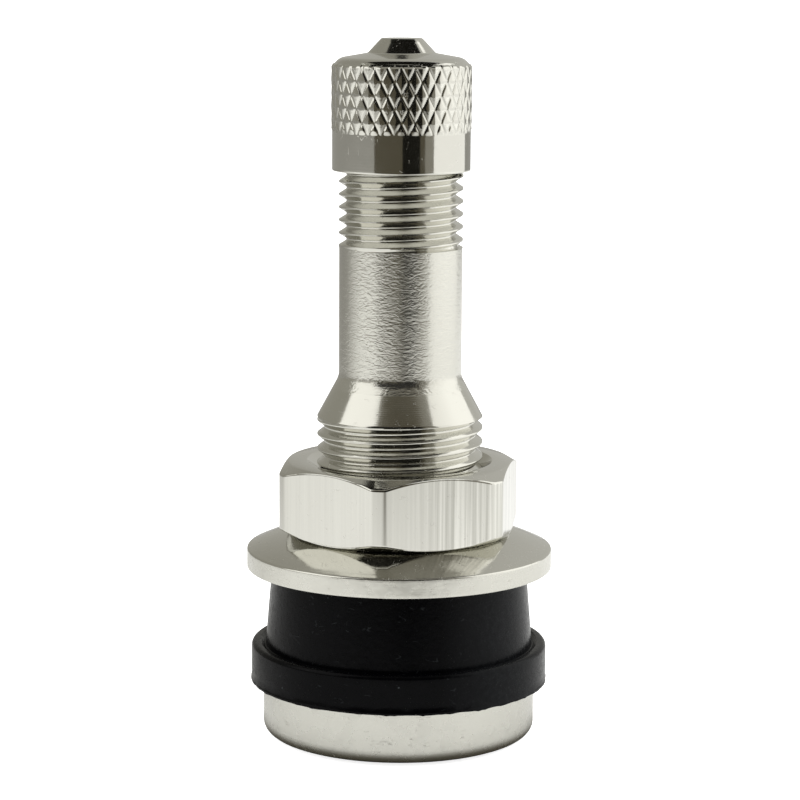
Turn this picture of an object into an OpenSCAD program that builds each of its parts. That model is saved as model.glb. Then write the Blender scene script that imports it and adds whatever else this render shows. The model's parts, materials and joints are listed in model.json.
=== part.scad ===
// Clamp-in tyre valve for a 16 mm rim hole: a plated brass stem with a wide foot,
// a rubber grommet, a washer, a hexagon nut, a knurled screw cap and a sprung core.
// The stem's axis is Z, and the foot's underside lies at z = 0.

/* [Foot] */
// Diameter of the foot that stays inside the rim
foot_d = 17.1; // [16:0.1:20]
// Height from the foot's underside to the grommet's seat
foot_h = 3.55; // [2.5:0.05:5]
// Rounding of the foot's lower edge
foot_round = 0.7; // [0.2:0.05:0.9]
// Diameter of the low pad under the foot
pad_d = 14; // [10:0.1:14.5]
// Height of the low pad under the foot
pad_h = 0.2; // [0.1:0.05:0.5]

/* [Stem] */
// Major diameter of the shank's thread, which carries the nut
shank_d = 10.35; // [9.5:0.05:11]
// Length of shank that shows above the nut
shank_show = 2.8; // [1:0.1:6]
// Height of the cone between shank and neck
cone_h = 2.5; // [1.5:0.1:4]
// Radius of the cove where the cone meets the neck
cone_cove = 1.2; // [0.4:0.1:2]
// Diameter of the plain neck
neck_d = 7.65; // [7.2:0.05:7.7]
// Length of the plain neck
neck_h = 8.05; // [6:0.05:20]
// Major diameter of the valve thread, which carries the cap
valve_d = 7.7; // [7.6:0.05:7.8]
// Length of the valve thread
valve_h = 9.55; // [8:0.05:12]
// Chamfer at the mouth's outer edge
mouth_chamfer = 0.45; // [0.2:0.05:0.6]

/* [Threads] */
// Threads to the inch on the shank
shank_tpi = 28; // [24:1:32]
// Depth of the shank's thread
shank_groove = 0.44; // [0.3:0.01:0.5]
// Threads to the inch on the valve thread
valve_tpi = 32; // [28:1:36]
// Depth of the valve thread
valve_groove = 0.47; // [0.3:0.01:0.5]
// Width of a thread's crest, as a share of its pitch
crest_share = 0.12; // [0.05:0.01:0.2]
// How far the crests lie inside the plain lengths beside them
crest_relief = 0.02; // [0.01:0.005:0.05]
// Length of shank thread that runs down inside the grommet
thread_hidden = 0.5; // [0.2:0.1:2]
// Height of a shank crest above the nut at the stem's right side
shank_crest = 2.1; // [0:0.05:2.5]
// Height of a valve crest above the neck at the stem's right side
valve_crest = 0.5; // [0:0.05:0.8]

/* [Bore] */
// Diameter of the air passage through the foot
passage_d = 3.2; // [2.4:0.1:3.4]
// Depth of the core's chamber below the mouth
chamber_depth = 20.2; // [19.8:0.1:22]
// Depth of the core's thread below the mouth
core_thread_depth = 5.6; // [5:0.1:6]
// Diameter of the flared opening under the foot
flare_d = 4.4; // [3.6:0.1:5]

/* [Grommet] */
// How far the flange's edge lies inside the washer's
flange_inset = 0.275; // [0:0.025:1]
// Height of the flange
flange_h = 2.45; // [1.5:0.05:4]
// Rounding of the flange's upper edge
flange_round = 0.3; // [0.1:0.05:0.6]
// How far the thin moulding lip stands out round the flange's lower edge
lip_out = 0.05; // [0.02:0.01:0.2]
// Height of the moulding lip
lip_h = 0.2; // [0.1:0.05:0.5]
// Diameter of the tapered plug at the flange
plug_low_d = 16.8; // [16:0.1:17.2]
// Diameter of the tapered plug under the washer
plug_top_d = 16; // [14:0.1:16.6]
// Height of the tapered plug
plug_h = 4.8; // [3:0.1:8]
// Radial gap between the grommet and the shank
grommet_gap = 0.05; // [0.02:0.01:0.2]

/* [Washer] */
// Diameter of the washer
washer_d = 19.15; // [18:0.05:22]
// Height of the washer's upright rim
rim_h = 1.2; // [0.8:0.05:2]
// Rise of the conical top from the rim to the nut's seat
washer_rise = 1.05; // [0.4:0.05:1.6]
// Diameter of the flat seat under the nut
washer_seat_d = 13.2; // [12.6:0.1:14]
// Softened edge of the rim
rim_edge = 0.15; // [0.05:0.05:0.3]
// Radial gap between the washer and the shank
washer_gap = 0.2; // [0.1:0.05:0.5]

/* [Nut] */
// Distance across the nut's flats
nut_af = 14; // [13:0.5:16]
// Height of the nut
nut_h = 4.5; // [3:0.1:7]
// How much the hexagon's corners are turned down, in radius
nut_corner = 0.25; // [0.1:0.05:0.6]
// Slope of the chamfers at both ends, in degrees
nut_bevel = 30; // [20:1:40]
// Diameter of the countersink at both ends of the thread
nut_sink_d = 11.6; // [11.4:0.1:12.4]
// Turn of the nut on the shank, in degrees
nut_angle = 20.6; // [0:0.2:60]
// Radial gap between the nut's bore and the shank
nut_gap = 0.05; // [0.03:0.01:0.1]

/* [Cap] */
// Diameter of the cap's plain band
cap_d = 8.55; // [8.4:0.05:10]
// Height of the plain band
band_h = 2.45; // [1:0.05:4]
// How far the knurl's diamonds stand proud of the plain band
knurl_proud = 0.06; // [0.04:0.01:0.15]
// Height of the knurled band
knurl_h = 3.95; // [2:0.05:6]
// Number of diamonds round the knurl
knurl_count = 32; // [20:1:36]
// Number of staggered rows of diamonds
knurl_rows = 4; // [2:1:6]
// Depth of the grooves between the diamonds
knurl_depth = 0.16; // [0.1:0.01:0.25]
// Wall between the cap's bore and the knurled ring's inner side
knurl_wall = 0.15; // [0.12:0.01:0.2]
// Rounding between the knurl and the crown
crown_round = 0.9; // [0.5:0.05:1.2]
// How far below the knurl's upper edge that rounding starts
crown_drop = 0.35; // [0:0.05:0.45]
// Slope of the crown towards the nib, in degrees
crown_slope = 10; // [4:1:16]
// Diameter of the nib at the crown
nib_low_d = 4.2; // [3:0.1:5]
// Diameter of the nib's flat top
nib_top_d = 2.5; // [1.4:0.1:2.8]
// Height of the nib
nib_h = 0.9; // [0.4:0.05:2]
// Softened edge of the nib's top
nib_edge = 0.2; // [0.05:0.01:0.3]
// Depth of the cap's bore, from its lower edge to its ceiling
cap_depth = 5.5; // [4.5:0.05:6]
// Radial gap between the cap's bore and the valve thread
cap_gap = 0.05; // [0.03:0.01:0.1]
// Thickness of the rubber disc in the cap
seal_h = 0.7; // [0.4:0.05:1.2]
// Radial gap round the rubber disc
seal_gap = 0.1; // [0.05:0.05:0.3]

/* [Core] */
// Major diameter of the core's thread
core_d = 5.2; // [5:0.05:5.3]
// Radial gap between the core's thread and the stem
core_gap = 0.03; // [0.02:0.01:0.1]
// Depth of the plug's bridge below the mouth
bridge_depth = 0.55; // [0.4:0.05:0.8]
// Height of the plug's bridge
bridge_h = 1.3; // [1:0.05:1.6]
// Diameter of the bridge before its flats are cut
bridge_d = 3.5; // [3:0.1:3.8]
// Distance across the bridge's two flats
bridge_af = 2.4; // [2:0.1:2.8]
// Width of the air window through the bridge
window_w = 1.7; // [1.4:0.1:2]
// Height of the air window through the bridge
window_h = 0.75; // [0.4:0.05:0.9]
// Length of the plug's threaded ring
ring_h = 3; // [2.6:0.1:3.2]
// Thickness of the plug's lip under the barrel's swivel collar
plug_lip = 0.35; // [0.25:0.05:0.5]
// Height of the barrel's swivel collar
collar_h = 1; // [0.6:0.1:1.4]
// Diameter of the swivel collar
collar_d = 3.5; // [3.3:0.1:3.7]
// Diameter of the barrel's neck
barrel_neck_d = 2.95; // [2.85:0.05:3.1]
// Length of the neck between the collar and the shoulder
barrel_neck_h = 1.55; // [1.2:0.05:1.8]
// Diameter of the shoulder above the sealing ring
shoulder_d = 4.2; // [4:0.05:4.3]
// Height of the shoulder
shoulder_h = 0.7; // [0.4:0.1:0.9]
// Height of the sealing ring
ring_seal_h = 1.7; // [1.2:0.1:2]
// Diameter of the sealing ring at its upper end
ring_seal_d = 4.45; // [4.3:0.05:4.6]
// Diameter of the barrel's tube
tube_d = 3.4; // [3.3:0.05:3.5]
// Length of the barrel's tube below the sealing ring
tube_h = 8.2; // [7.5:0.1:8.4]
// Bore of the barrel
barrel_bore = 2.4; // [2.3:0.05:2.5]
// Thickness of the shoulder that carries the spring
spring_stop = 0.7; // [0.5:0.1:1]
// Bore through the shoulder that carries the spring
spring_stop_bore = 1.6; // [1.4:0.05:1.7]
// Depth of the recess in the barrel's lower rim
rim_recess = 0.6; // [0.4:0.1:0.8]
// Radial gap between the tube and the stem's chamber
chamber_gap = 0.15; // [0.1:0.05:0.2]
// Gap at the faces that swivel or seat inside the core
core_face_gap = 0.04; // [0.02:0.01:0.08]

/* [Pin] */
// Diameter of the pin
pin_d = 1.05; // [0.9:0.05:1.2]
// Depth of the pin's tip below the mouth
pin_depth = 0.3; // [0.1:0.05:0.5]
// Radial gap between the pin and its guide in the bridge
pin_gap = 0.05; // [0.03:0.01:0.1]
// Diameter of the riveted head under the cup
pin_head_d = 1.8; // [1.5:0.1:2.2]
// Height of the riveted head
pin_head_h = 0.3; // [0.2:0.05:0.4]
// Diameter of the collar that the spring pushes up
spring_seat_d = 2.2; // [2.1:0.05:2.25]
// Height of that collar
spring_seat_h = 0.7; // [0.4:0.1:1]
// Radial gap where a piece is pressed on the pin
press_gap = 0.01; // [0.005:0.005:0.02]
// Thickness of the rubber seat washer
seat_h = 0.68; // [0.5:0.02:0.9]
// Diameter of the cup round the seat washer
cup_d = 3.3; // [3.2:0.05:3.4]
// Wall of the cup
cup_wall = 0.15; // [0.1:0.05:0.25]
// Thickness of the cup's floor
cup_floor = 0.45; // [0.3:0.05:0.6]
// Height of the cup's wall above its floor
cup_lip = 0.35; // [0.2:0.05:0.45]
// Diameter of the spring's wire
wire_d = 0.3; // [0.2:0.05:0.35]
// Number of turns in the spring
spring_turns = 9; // [6:1:12]

/* [Hidden] */
$fn = 96;

// Levels up the stem
seat_z = foot_h;
flange_z = seat_z + flange_h;
plug_z = flange_z + plug_h;
rim_z = plug_z + rim_h;
nut_z = rim_z + washer_rise;
nut_top_z = nut_z + nut_h;
shank_z = nut_top_z + shank_show;
cone_z = shank_z + cone_h;
neck_z = cone_z + neck_h;
mouth_z = neck_z + valve_h;

// Levels and pitches of the two threads
inch = 25.4;
shank_pitch = inch / shank_tpi;
valve_pitch = inch / valve_tpi;
shank_thread_z = plug_z - thread_hidden;
valve_thread_top_z = mouth_z - mouth_chamfer;
shank_crest_z = nut_top_z + shank_crest;
valve_crest_z = neck_z + valve_crest;

// Levels of the cap
ceiling_z = mouth_z + seal_h;
cap_z = ceiling_z - cap_depth;
knurl_z = cap_z + band_h;
crown_z = knurl_z + knurl_h;

// Levels of the core, counted down from the mouth
bridge_top_z = mouth_z - bridge_depth;
bridge_z = bridge_top_z - bridge_h;
ring_z = bridge_z - ring_h;
lip_z = ring_z + plug_lip;
collar_z = lip_z + core_face_gap;
collar_top_z = collar_z + collar_h;
shoulder_top_z = collar_z - barrel_neck_h;
shoulder_z = shoulder_top_z - shoulder_h;
seal_low_z = shoulder_z - ring_seal_h;
tube_low_z = seal_low_z - tube_h;
recess_z = tube_low_z + rim_recess;
stop_z = recess_z + spring_stop;
seat_top_z = tube_low_z - core_face_gap;
cup_floor_z = seat_top_z - seat_h;
cup_low_z = cup_floor_z - cup_floor;
pin_low_z = cup_low_z - pin_head_h;
spring_top_z = shoulder_z - spring_seat_h - core_face_gap;

// Radii that fits share
flange_r = washer_d / 2 - flange_inset;
shank_r = shank_d / 2;
valve_r = valve_d / 2;
shank_crest_r = shank_r - crest_relief;
valve_crest_r = min(valve_r, neck_d / 2) - crest_relief;
chamber_r = tube_d / 2 + chamber_gap;
thread_r = core_d / 2 + core_gap;
cap_bore_r = valve_r + cap_gap;
ring_r = cap_bore_r + knurl_wall;
hub_r = nut_af / 2;
nut_corner_r = nut_af / 2 / cos(30) - nut_corner;

// Distance by which a cut runs past the face it opens
past = 0.5;

// Half section of a disc with a rounded lower and upper edge
module disc_section(r, low, high, low_round, high_round) {
    translate([0, low]) square([r - low_round, high - low]);
    translate([0, low + low_round]) square([r, high - low - low_round - high_round]);
    translate([0, low]) square([r - high_round, high - low]);
    if (low_round > 0) translate([r - low_round, low + low_round]) circle(low_round);
    if (high_round > 0) translate([r - high_round, high - high_round]) circle(high_round);
}

// Half section of a cone frustum
module cone_section(low_r, high_r, low, high) {
    polygon([[0, low], [low_r, low], [high_r, high], [0, high]]);
}

// Fills the corner where a cone runs up into a cylinder, with a round hollow
module cove_section(r, z, round_r, slope) {
    reach = round_r * tan(slope / 2);
    centre = [r + round_r, z + reach];
    foot = [r + reach * sin(slope), z - reach * cos(slope)];
    difference() {
        polygon([[r, z], foot, centre, [r, z + reach]]);
        translate(centre) circle(round_r);
    }
}

// Tube between two levels
module sleeve(outer_r, inner_r, low, high) {
    translate([0, 0, low]) difference() {
        cylinder(r = outer_r, h = high - low);
        translate([0, 0, -past]) cylinder(r = inner_r, h = high - low + 2 * past);
    }
}

module stem_outline() {
    square([pad_d / 2, pad_h + foot_round]);
    disc_section(foot_d / 2, pad_h, seat_z, foot_round, 0);
    translate([0, seat_z]) square([shank_r, shank_thread_z - seat_z]);
    cone_section(shank_r, neck_d / 2, shank_z, cone_z);
    cove_section(neck_d / 2, cone_z, cone_cove, atan2(shank_r - neck_d / 2, cone_h));
    translate([0, cone_z]) square([neck_d / 2, neck_h]);
    cone_section(valve_r, valve_r - mouth_chamfer, valve_thread_top_z, mouth_z);
}

// Threaded rod between two levels. Its rows of points climb one pitch in a turn, so that
// crest and root follow the helix, and at the seam a row meets the one a pitch higher.
module threaded_rod(crest_r, groove, pitch, low, high, crest_z) {
    columns = 30;
    profile = [[-crest_share / 2, crest_r], [crest_share / 2, crest_r], [0.5, crest_r - groove]];
    n = len(profile);
    first = floor((low - crest_z) / pitch) - 2;
    rows = n * (ceil((high - low) / pitch) + 4);
    function spot(i, j) =
        let (angle = 360 * i / columns, r = profile[j % n][1], turn = first + floor(j / n) + i / columns)
        [r * cos(angle), r * sin(angle), crest_z + pitch * (turn + profile[j % n][0])];
    function at(i, j) = i < columns ? j * columns + i : (j + n) * columns;
    points = [for (j = [0 : rows], i = [0 : columns - 1]) spot(i, j)];
    sides = [for (j = [0 : rows - 1], i = [0 : columns - 1]) if (i < columns - 1 || j < rows - n)
        each [[at(i, j), at(i, j + 1), at(i + 1, j + 1)], [at(i, j), at(i + 1, j + 1), at(i + 1, j)]]];
    low_loop = concat([for (i = [0 : columns]) at(i, 0)], [for (j = [n - 1 : -1 : 0]) at(0, j)]);
    high_loop = concat([for (i = [0 : columns - 1]) at(i, rows)],
                       [for (j = [rows - 1 : -1 : rows - n]) at(columns - 1, j)], [at(0, rows)]);
    low_point = len(points);
    low_end = [for (k = [0 : len(low_loop) - 2]) [low_point, low_loop[k], low_loop[k + 1]]];
    high_end = [for (k = [0 : len(high_loop) - 2]) [low_point + 1, high_loop[k + 1], high_loop[k]]];
    axis_points = [[0, 0, spot(0, 0)[2]], [0, 0, spot(columns - 1, rows)[2]]];
    intersection() {
        polyhedron(points = concat(points, axis_points), faces = concat(sides, low_end, high_end));
        translate([0, 0, low]) cylinder(r = crest_r + past, h = high - low);
    }
}

module stem_bore() {
    chamber_z = mouth_z - chamber_depth;
    thread_z = mouth_z - core_thread_depth;
    seat_r = ring_seal_d / 2 + core_gap;
    flare_h = (flare_d - passage_d) / 2;
    translate([0, -past]) square([passage_d / 2, chamber_z + 2 * past]);
    cone_section(flare_d / 2, passage_d / 2, 0, flare_h);
    translate([0, chamber_z]) square([chamber_r, mouth_z - chamber_z]);
    cone_section(chamber_r, seat_r, seal_low_z, shoulder_z);
    translate([0, shoulder_z]) square([seat_r, thread_z - shoulder_z]);
    translate([0, thread_z]) square([thread_r, mouth_z - thread_z + past]);
}

module valve_stem() {
    color("lightgray") difference() {
        union() {
            rotate_extrude() stem_outline();
            threaded_rod(shank_crest_r, shank_groove, shank_pitch, shank_thread_z, shank_z, shank_crest_z);
            threaded_rod(valve_crest_r, valve_groove, valve_pitch, neck_z, valve_thread_top_z, valve_crest_z);
        }
        rotate_extrude() stem_bore();
    }
}

module rubber_grommet() {
    color([0.09, 0.09, 0.1]) rotate_extrude() difference() {
        union() {
            disc_section(flange_r, seat_z + lip_h / 2, flange_z, 0, flange_round);
            translate([0, seat_z]) square([flange_r + lip_out, lip_h]);
            cone_section(plug_low_d / 2, plug_top_d / 2, flange_z, plug_z);
        }
        translate([0, seat_z - past]) square([shank_r + grommet_gap, plug_z - seat_z + 2 * past]);
    }
}

module clamp_washer() {
    rim_r = washer_d / 2;
    bore_r = shank_r + washer_gap;
    color("silver") rotate_extrude() polygon([
        [bore_r, plug_z], [rim_r - rim_edge, plug_z], [rim_r, plug_z + rim_edge],
        [rim_r, rim_z - rim_edge], [rim_r - rim_edge, rim_z],
        [washer_seat_d / 2, nut_z], [bore_r, nut_z]]);
}

// Outline that turns down the hexagon's corners and bevels both of its ends
module nut_turning() {
    bevel_h = (nut_corner_r - hub_r) * tan(nut_bevel);
    rotate_extrude() polygon([
        [0, nut_z], [hub_r, nut_z], [nut_corner_r, nut_z + bevel_h],
        [nut_corner_r, nut_top_z - bevel_h], [hub_r, nut_top_z], [0, nut_top_z]]);
}

module nut_bore() {
    bore_r = shank_r + nut_gap;
    sink_r = nut_sink_d / 2;
    sink_h = sink_r - bore_r;
    rotate_extrude() union() {
        translate([0, nut_z - past]) square([bore_r, nut_h + 2 * past]);
        cone_section(sink_r, bore_r, nut_z, nut_z + sink_h);
        cone_section(bore_r, sink_r, nut_top_z - sink_h, nut_top_z);
    }
}

module clamp_nut() {
    color("gainsboro") difference() {
        intersection() {
            translate([0, 0, nut_z]) rotate(nut_angle)
                cylinder(d = nut_af / cos(30), h = nut_h, $fn = 6);
            nut_turning();
        }
        nut_bore();
    }
}

// Full outline of the cap, with a groove where the knurled ring sits
module cap_outline() {
    cap_r = cap_d / 2;
    corner = [cap_r - crown_round, crown_z - crown_drop];
    tangent = corner + crown_round * [sin(crown_slope), cos(crown_slope)];
    nib_z = tangent[1] + (tangent[0] - nib_low_d / 2) * tan(crown_slope);
    translate([0, cap_z]) square([cap_r, band_h]);
    translate([0, knurl_z]) square([ring_r, knurl_h]);
    intersection() {
        translate(corner) circle(crown_round);
        translate([0, crown_z]) square([cap_r, crown_round]);
    }
    polygon([[0, crown_z], [corner[0], crown_z], tangent, [nib_low_d / 2, nib_z], [0, nib_z]]);
    cone_section(nib_low_d / 2, nib_top_d / 2 + nib_edge, nib_z, nib_z + nib_h - nib_edge);
    cone_section(nib_top_d / 2 + nib_edge, nib_top_d / 2, nib_z + nib_h - nib_edge, nib_z + nib_h);
}

// Knurled ring: grooves cross at every other point of a lattice, and each diamond between
// them is a low four-sided point, cut off halfway at the ring's two ends
module knurled_ring() {
    columns = 2 * knurl_count;
    levels = knurl_rows + 1;
    point_r = cap_d / 2 + knurl_proud;
    inner_r = (ring_r + cap_bore_r) / 2;
    function is_point(i, j) = (i + j) % 2 == 0;
    function reach(i, j) = is_point(i, j) ? point_r : point_r - knurl_depth;
    function turned(r, angle, z) = [r * cos(angle), r * sin(angle), z];
    function place(r, i, j) = turned(r, 360 * i / columns, knurl_z + knurl_h * j / levels);
    function at(i, j) = j * columns + (i + columns) % columns;
    function inner(i, j) = (levels + 1 + j) * columns + (i + columns) % columns;
    outside = [for (j = [0 : levels], i = [0 : columns - 1]) place(reach(i, j), i, j)];
    inside = [for (j = [0, levels], i = [0 : columns - 1]) place(inner_r, i, j)];
    lower = [for (j = [0 : levels - 1], i = [0 : columns - 1]) if (is_point(i, j))
        each [[at(i, j), at(i, j + 1), at(i + 1, j)], [at(i, j), at(i - 1, j), at(i, j + 1)]]];
    upper = [for (j = [1 : levels], i = [0 : columns - 1]) if (is_point(i, j))
        each [[at(i, j), at(i + 1, j), at(i, j - 1)], [at(i, j), at(i, j - 1), at(i - 1, j)]]];
    walls = [for (i = [0 : columns - 1])
        each [[at(i, 0), at(i + 1, 0), inner(i + 1, 0), inner(i, 0)],
              [inner(i, 0), inner(i + 1, 0), inner(i + 1, 1), inner(i, 1)],
              [inner(i, 1), inner(i + 1, 1), at(i + 1, levels), at(i, levels)]]];
    polyhedron(points = concat(outside, inside), faces = concat(lower, upper, walls));
}

module cap_shell() {
    color("silver") union() {
        rotate_extrude() difference() {
            cap_outline();
            translate([0, cap_z - past]) square([cap_bore_r, cap_depth + past]);
        }
        knurled_ring();
    }
}

module cap_seal() {
    color("dimgray") translate([0, 0, mouth_z]) cylinder(r = cap_bore_r - seal_gap, h = seal_h);
}

module core_plug() {
    cavity_r = collar_d / 2 + core_gap;
    color("goldenrod") difference() {
        union() {
            translate([0, 0, ring_z]) cylinder(d = core_d, h = ring_h);
            intersection() {
                translate([0, 0, bridge_z]) cylinder(d = bridge_d, h = bridge_h);
                translate([-bridge_af / 2, -bridge_d, bridge_z]) cube([bridge_af, 2 * bridge_d, bridge_h]);
            }
        }
        translate([0, 0, ring_z - past]) cylinder(r = barrel_neck_d / 2 + core_gap, h = ring_h);
        translate([0, 0, lip_z]) cylinder(r = cavity_r, h = collar_h + 2 * core_face_gap);
        translate([0, 0, lip_z]) cylinder(d = window_w, h = bridge_z - lip_z + window_h);
        translate([-bridge_af, -window_w / 2, bridge_z]) cube([2 * bridge_af, window_w, window_h]);
        translate([0, 0, bridge_z]) cylinder(r = pin_d / 2 + pin_gap, h = bridge_h + past);
    }
}

module core_barrel() {
    rim_w = (tube_d - spring_stop_bore) / 4;
    color("darkgoldenrod") rotate_extrude() difference() {
        union() {
            translate([0, collar_z]) square([collar_d / 2, collar_h]);
            translate([0, shoulder_z]) square([barrel_neck_d / 2, collar_z - shoulder_z]);
            translate([0, shoulder_z]) square([shoulder_d / 2, shoulder_h]);
            translate([0, seal_low_z]) square([barrel_neck_d / 2, ring_seal_h]);
            translate([0, recess_z]) square([tube_d / 2, seal_low_z - recess_z]);
            cone_section(tube_d / 2 - rim_w, tube_d / 2, tube_low_z, recess_z);
        }
        translate([0, stop_z]) square([barrel_bore / 2, collar_top_z - stop_z + past]);
        translate([0, tube_low_z - past]) square([spring_stop_bore / 2, stop_z - tube_low_z + 2 * past]);
    }
}

module barrel_seal() {
    color("white") rotate_extrude() difference() {
        cone_section(chamber_r - core_gap, ring_seal_d / 2, seal_low_z, shoulder_z);
        translate([0, seal_low_z - past]) square([barrel_neck_d / 2 + press_gap, ring_seal_h + 2 * past]);
    }
}

module core_pin() {
    tip_z = mouth_z - pin_depth;
    color("gold") union() {
        translate([0, 0, cup_low_z]) cylinder(d = pin_d, h = tip_z - cup_low_z);
        translate([0, 0, pin_low_z]) cylinder(d = pin_head_d, h = pin_head_h);
    }
}

module spring_seat() {
    seat_bore_r = pin_d / 2 + press_gap;
    color("goldenrod")
        sleeve(spring_seat_d / 2, seat_bore_r, spring_top_z, spring_top_z + spring_seat_h);
}

module seat_washer() {
    seat_r = cup_d / 2 - cup_wall - press_gap;
    color("dimgray") sleeve(seat_r, pin_d / 2 + press_gap, cup_floor_z, seat_top_z);
}

module seat_cup() {
    color("goldenrod") difference() {
        sleeve(cup_d / 2, pin_d / 2 + press_gap, cup_low_z, cup_floor_z + cup_lip);
        translate([0, 0, cup_floor_z]) cylinder(r = cup_d / 2 - cup_wall, h = cup_lip + past);
    }
}

// Ring of points round the spring's wire at one place along the helix
function wire_ring(turn, coil_r, z, sides) = [
    for (k = [0 : sides - 1])
        let (reach = coil_r + wire_d / 2 * cos(360 * k / sides))
        [reach * cos(360 * turn), reach * sin(360 * turn), z + wire_d / 2 * sin(360 * k / sides)]];

module core_spring() {
    sides = 6;
    steps = 20 * spring_turns;
    coil_r = (spring_seat_d - wire_d) / 2;
    low = stop_z + wire_d / 2 + core_face_gap;
    high = spring_top_z - wire_d / 2 - core_face_gap;
    rings = [for (i = [0 : steps])
        wire_ring(spring_turns * i / steps, coil_r, low + (high - low) * i / steps, sides)];
    walls = [for (i = [0 : steps - 1], k = [0 : sides - 1])
        let (a = i * sides + k, b = i * sides + (k + 1) % sides) [a, a + sides, b + sides, b]];
    ends = [[for (k = [0 : sides - 1]) k], [for (k = [sides - 1 : -1 : 0]) steps * sides + k]];
    color("lightsteelblue")
        polyhedron(points = [for (ring = rings) each ring], faces = concat(walls, ends));
}

valve_stem();
rubber_grommet();
clamp_washer();
clamp_nut();
cap_shell();
cap_seal();
core_plug();
core_barrel();
barrel_seal();
core_pin();
core_spring();
spring_seat();
seat_washer();
seat_cup();
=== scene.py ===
# %% [markdown]
# # A tyre valve, from turned solids to a studio picture
# The valve is a small assembly: a nickel-plated brass stem with a wide foot, a black rubber
# grommet, a washer, a hexagon nut, a knurled cap and a sprung core inside the stem.
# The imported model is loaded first. Its pieces are never moved: every new mesh is made in the
# same frame and rides on the body of the piece that it stands for.

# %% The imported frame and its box
import json
import math

import bmesh
import bpy
import numpy as np
from mathutils import Matrix, Vector, noise

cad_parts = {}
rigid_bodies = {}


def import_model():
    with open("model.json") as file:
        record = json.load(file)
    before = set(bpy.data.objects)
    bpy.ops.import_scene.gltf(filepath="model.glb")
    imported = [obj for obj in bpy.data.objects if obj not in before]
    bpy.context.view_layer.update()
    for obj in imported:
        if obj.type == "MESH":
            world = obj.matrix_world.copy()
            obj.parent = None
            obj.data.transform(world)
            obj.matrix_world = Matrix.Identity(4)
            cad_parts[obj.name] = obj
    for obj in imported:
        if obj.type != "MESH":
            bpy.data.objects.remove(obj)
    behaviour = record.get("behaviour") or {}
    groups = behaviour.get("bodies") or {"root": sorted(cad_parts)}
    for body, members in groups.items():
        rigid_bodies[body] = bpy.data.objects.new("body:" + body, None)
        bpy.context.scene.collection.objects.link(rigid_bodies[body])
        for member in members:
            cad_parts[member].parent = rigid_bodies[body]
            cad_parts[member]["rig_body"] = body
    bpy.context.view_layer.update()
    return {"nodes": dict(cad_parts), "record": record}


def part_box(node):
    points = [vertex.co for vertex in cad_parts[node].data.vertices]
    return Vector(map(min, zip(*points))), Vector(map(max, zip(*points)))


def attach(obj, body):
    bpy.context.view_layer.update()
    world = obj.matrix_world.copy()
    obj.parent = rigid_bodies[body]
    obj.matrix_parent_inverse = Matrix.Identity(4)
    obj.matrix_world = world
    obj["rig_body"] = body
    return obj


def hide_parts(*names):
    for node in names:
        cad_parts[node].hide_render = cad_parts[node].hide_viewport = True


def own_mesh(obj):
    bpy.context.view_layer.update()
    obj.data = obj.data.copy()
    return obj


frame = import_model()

MM = 0.001

# %% [markdown]
# ## Levels and sizes
# All the outlines below are drawn in millimetres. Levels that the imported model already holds
# are read from its boxes, so that the meshes sit exactly where the solids are. The sizes
# inside an outline, which a box can't tell, are the design's own sizes.

# %% Levels from the frame, sizes from the design
def box_mm(node):
    low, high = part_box(node)
    return np.array(low) / MM, np.array(high) / MM


FOOT_R, MOUTH_Z = box_mm("valve_stem")[1][[0, 2]]
SEAT_Z = box_mm("rubber_grommet")[0][2]
LIP_R, PLUG_TOP_Z = box_mm("rubber_grommet")[1][[0, 2]]
WASHER_R, NUT_Z = box_mm("clamp_washer")[1][[0, 2]]
NUT_TOP_Z = box_mm("clamp_nut")[1][2]
CAP_Z = box_mm("cap_shell")[0][2]
RIDGE_R, CAP_TOP_Z = box_mm("cap_shell")[1][[0, 2]]
CEILING_Z = box_mm("cap_seal")[1][2]

# Radii of the stem, and the heights of the shank above the nut, of the cone and of the neck
SHANK_R, NECK_R, VALVE_R = 5.175, 3.825, 3.85
SHANK_SHOW, CONE_H, NECK_H = 2.8, 2.5, 8.05
SHANK_TOP_Z = NUT_TOP_Z + SHANK_SHOW
CONE_TOP_Z = SHANK_TOP_Z + CONE_H
NECK_TOP_Z = CONE_TOP_Z + NECK_H
print("mouth", MOUTH_Z, "nut", NUT_Z, NUT_TOP_Z, "neck's top", NECK_TOP_Z)

# %% [markdown]
# ## Turning a surface
# Nearly every piece of the valve was made on a lathe, so its surface is an outline swept round
# the axis. Blender's Screw modifier could do that, but it can't cut a thread with a run-out or
# roll a knurl. Here each surface is a grid instead: rows follow the outline, columns go round
# the axis, and a radius and a height are kept for every grid point. A plain row has one
# radius all round, and a thread or a knurl changes the numbers point by point.

# %% Outlines with rounded corners
def unit(v):
    return v / np.linalg.norm(v)


def rounded(corners, closed=True, step=15):
    """Outline through (radius, height, fillet) corners, with an arc in place of each filleted one.

    An arc has a point at least every step degrees.
    """
    outline = []
    for i, corner in enumerate(corners):
        here = np.array(corner[:2], float)
        fillet = corner[2] if len(corner) > 2 else 0
        if not fillet or (not closed and i in (0, len(corners) - 1)):
            outline.append(here)
            continue
        back = unit(np.array(corners[i - 1][:2]) - here)
        ahead = unit(np.array(corners[(i + 1) % len(corners)][:2]) - here)
        half = math.acos(np.clip(back @ ahead, -1, 1)) / 2
        centre = here + unit(back + ahead) * fillet / math.sin(half)
        first = here + back * fillet / math.tan(half) - centre
        last = here + ahead * fillet / math.tan(half) - centre
        start = math.atan2(first[1], first[0])
        sweep = (math.atan2(last[1], last[0]) - start + math.pi) % (2 * math.pi) - math.pi
        count = max(2, math.ceil(abs(math.degrees(sweep)) / step))
        for a in np.linspace(start, start + sweep, count + 1):
            outline.append(centre + fillet * np.array([math.cos(a), math.sin(a)]))
    return np.array(outline)


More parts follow.
